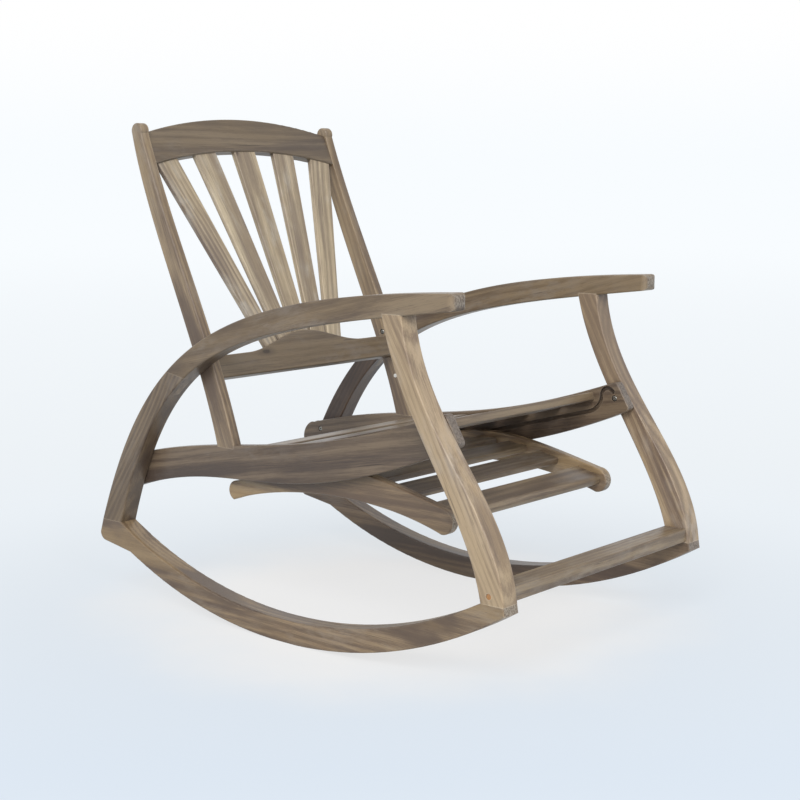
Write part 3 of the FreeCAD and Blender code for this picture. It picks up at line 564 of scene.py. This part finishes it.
class CHAIR_OT_fastenings(bpy.types.Operator):
    """Finish the bolts, screws, pins, caps, plugs and dowels"""
    bl_idname = "chair.fastenings"
    bl_label = "Fastenings"

    def execute(self, context):
        colours = context.scene.chair_fastenings
        steel = speckled_material("zinc_plated_steel", tuple(colours.steel), "tarnish", scale=220.0,
                                  detail=4.0, darkened=0.45, roughness=(0.28, 0.5), metallic=1.0)
        for name in STEEL_PIECES:
            dress(name, steel)
        caps = speckled_material("pale_cap", tuple(colours.cap), "soil", scale=400.0, detail=3.0,
                                 darkened=0.78, roughness=(0.30, 0.42))
        dress("post_caps", caps)
        wood = context.scene.chair_wood
        fresh_tint = tuple(fresh / worn for fresh, worn in zip(colours.plug, wood.middle))
        for name in ("screw_plugs", "joint_dowels"):
            fresh = wood_material(name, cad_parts[name], axis=UPWARD, warmth=1.0, streaks=0.2,
                                  tint=fresh_tint)
            dress(name, fresh)
        return {"FINISHED"}


def floor_material(stage, forward):
    """Pale floor that keeps the chair's shadow near it, is whiter under the chair as a painted pool of
    light, and fades into the backdrop far off.
    """
    material, tree, shader = new_material("pale_floor")
    place = tree.nodes.new("ShaderNodeTexCoord").outputs["Object"]
    along = add_node(tree, "ShaderNodeVectorMath", {0: place, 1: forward},
                     operation="DOT_PRODUCT").outputs["Value"]
    distance = maths(tree, "MAXIMUM", maths(tree, "ADD", along, FLOOR_TONES_START), FLOOR_TONES_LEAST)
    ramp = add_node(tree, "ShaderNodeValToRGB",
                    {0: maths(tree, "DIVIDE", FLOOR_TONES_RISE, distance)})
    stops = ramp.color_ramp.elements
    stops[0].color = (*stage.far_floor, 1.0)
    stops[1].position = NEAR_TONE
    stops[1].color = (*stage.near_floor, 1.0)
    stops.new(MIDDLE_TONE).color = (*stage.middle_floor, 1.0)
    reach = add_node(tree, "ShaderNodeVectorMath", {0: place}, operation="LENGTH").outputs["Value"]
    # worn is the noise that frays the edge of the painted pool of light under the chair, not wear
    worn = noise(tree, place, scale=WHITE_EDGE_SCALE, detail=3.0)
    ragged = maths(tree, "MULTIPLY_ADD", worn, WHITE_EDGE_SHARE, reach)
    tone = mixed(tree, stepped(tree, ragged, *WHITE_REACH), ramp.outputs[0], tuple(stage.white_floor))
    tone = mixed(tree, stepped(tree, reach, *FAR_REACH), tone, tuple(stage.far_floor))
    tree.links.new(tone, shader.inputs["Base Color"])
    shader.inputs["Roughness"].default_value = FLOOR_ROUGHNESS
    shader.inputs["Specular IOR Level"].default_value = 0.0
    glow = add_node(tree, "ShaderNodeEmission", {"Color": tone})
    unshaded = stepped(tree, reach, *SHADOW_REACH, stage.floor_glow, 1.0)
    share = maths(tree, "MULTIPLY", unshaded, looked_at(tree))
    mix = add_node(tree, "ShaderNodeMixShader", {0: share, 1: shader.outputs[0], 2: glow.outputs[0]})
    tree.links.new(mix.outputs[0], tree.nodes["Material Output"].inputs[0])
    return material


def backdrop_world(stage):
    """World that lights from all round and shows a pale backdrop."""
    world = bpy.data.worlds.new("backdrop")
    world.use_nodes = True
    tree = world.node_tree
    shown = tree.nodes["Background"]
    direction = tree.nodes.new("ShaderNodeTexCoord").outputs["Generated"]
    up = add_node(tree, "ShaderNodeSeparateXYZ", {0: direction}).outputs[2]
    tone = mixed(tree, stepped(tree, up, *HORIZON_BAND), tuple(stage.far_floor), tuple(stage.sky))
    tree.links.new(tone, shown.inputs["Color"])
    light = add_node(tree, "ShaderNodeBackground", {"Color": WHITE_LIGHT, "Strength": stage.ambient})
    mix = add_node(tree, "ShaderNodeMixShader",
                   {0: looked_at(tree), 1: light.outputs[0], 2: shown.outputs[0]})
    tree.links.new(mix.outputs[0], tree.nodes["World Output"].inputs[0])
    return world


def add_object(name, data):
    """Object in the scene, at the origin."""
    obj = bpy.data.objects.new(name, data)
    bpy.context.scene.collection.objects.link(obj)
    return obj


def add_floor(stage, forward):
    """Square floor with the chair on its middle."""
    half = stage.floor_size / 2
    corners = [(x, y, 0.0) for x, y in ((-half, -half), (half, -half), (half, half), (-half, half))]
    mesh = bpy.data.meshes.new("floor")
    mesh.from_pydata(corners, [], [(0, 1, 2, 3)])
    mesh.materials.append(floor_material(stage, forward))
    add_object("floor", mesh)


def add_lamp(name, kind, energy, toward, place=(0.0, 0.0, 0.0), **settings):
    """Lamp that stands at a place and shines in a direction."""
    lamp = bpy.data.lights.new(name, kind)
    for setting, value in settings.items():
        setattr(lamp, setting, value)
    lamp.energy = energy
    obj = add_object(name, lamp)
    obj.location = place
    obj.rotation_euler = toward.to_track_quat("-Z", "Y").to_euler()


class CHAIR_OT_stage(bpy.types.Operator):
    """Set the floor, the backdrop, the lights and the camera"""
    bl_idname = "chair.stage"
    bl_label = "Stage"

    def execute(self, context):
        scene = context.scene
        stage = scene.chair_stage
        azimuth, elevation = stage.camera_azimuth, stage.camera_elevation
        add_floor(stage, Vector((-math.sin(azimuth), math.cos(azimuth), 0.0)))
        scene.world = backdrop_world(stage)
        add_lamp("key", "SUN", stage.key, Vector(KEY_TOWARD), angle=KEY_SPREAD)
        width, height = LAMP_SIZE
        add_lamp("front_lamp", "AREA", stage.fill, Vector(LAMP_AIM) - Vector(LAMP_PLACE), LAMP_PLACE,
                 shape="RECTANGLE", size=width, size_y=height)

        camera = bpy.data.cameras.new("photo_view")
        camera.lens = stage.lens
        camera.sensor_width = SENSOR_WIDTH
        camera.clip_end = VIEW_REACH
        view = add_object("photo_view", camera)
        view.location = stage.camera_place
        view.rotation_euler = (math.pi / 2 - elevation, 0.0, azimuth)
        scene.camera = view
        scene.view_settings.view_transform = "Standard"
        return {"FINISHED"}


class CHAIR_PT_panel(bpy.types.Panel):
    """Steps that dress the chair"""
    bl_label = "Rocking chair"
    bl_idname = "CHAIR_PT_panel"
    bl_space_type = "VIEW_3D"
    bl_region_type = "UI"
    bl_category = "Chair"

    def draw(self, context):
        for step in STEPS:
            self.layout.operator(step.bl_idname)
        scene = context.scene
        for group in (scene.chair_wood, scene.chair_fastenings, scene.chair_stage):
            column = self.layout.column()
            for name in group.__annotations__:
                column.prop(group, name)


STEPS = (CHAIR_OT_rockers, CHAIR_OT_side_frames, CHAIR_OT_seat, CHAIR_OT_back, CHAIR_OT_footrest,
         CHAIR_OT_fastenings, CHAIR_OT_stage)
CLASSES = (WoodFinish, Fastenings, Stage, *STEPS, CHAIR_PT_panel)


def register():
    for cls in CLASSES:
        bpy.utils.register_class(cls)
    bpy.types.Scene.chair_wood = PointerProperty(type=WoodFinish)
    bpy.types.Scene.chair_fastenings = PointerProperty(type=Fastenings)
    bpy.types.Scene.chair_stage = PointerProperty(type=Stage)


def unregister():
    del bpy.types.Scene.chair_stage
    del bpy.types.Scene.chair_fastenings
    del bpy.types.Scene.chair_wood
    for cls in reversed(CLASSES):
        bpy.utils.unregister_class(cls)


def main():
    """Dress every piece and set the stage."""
    register()
    for step in STEPS:
        group, name = step.bl_idname.split(".")
        getattr(getattr(bpy.ops, group), name)()


if __name__ == "__main__":
    main()
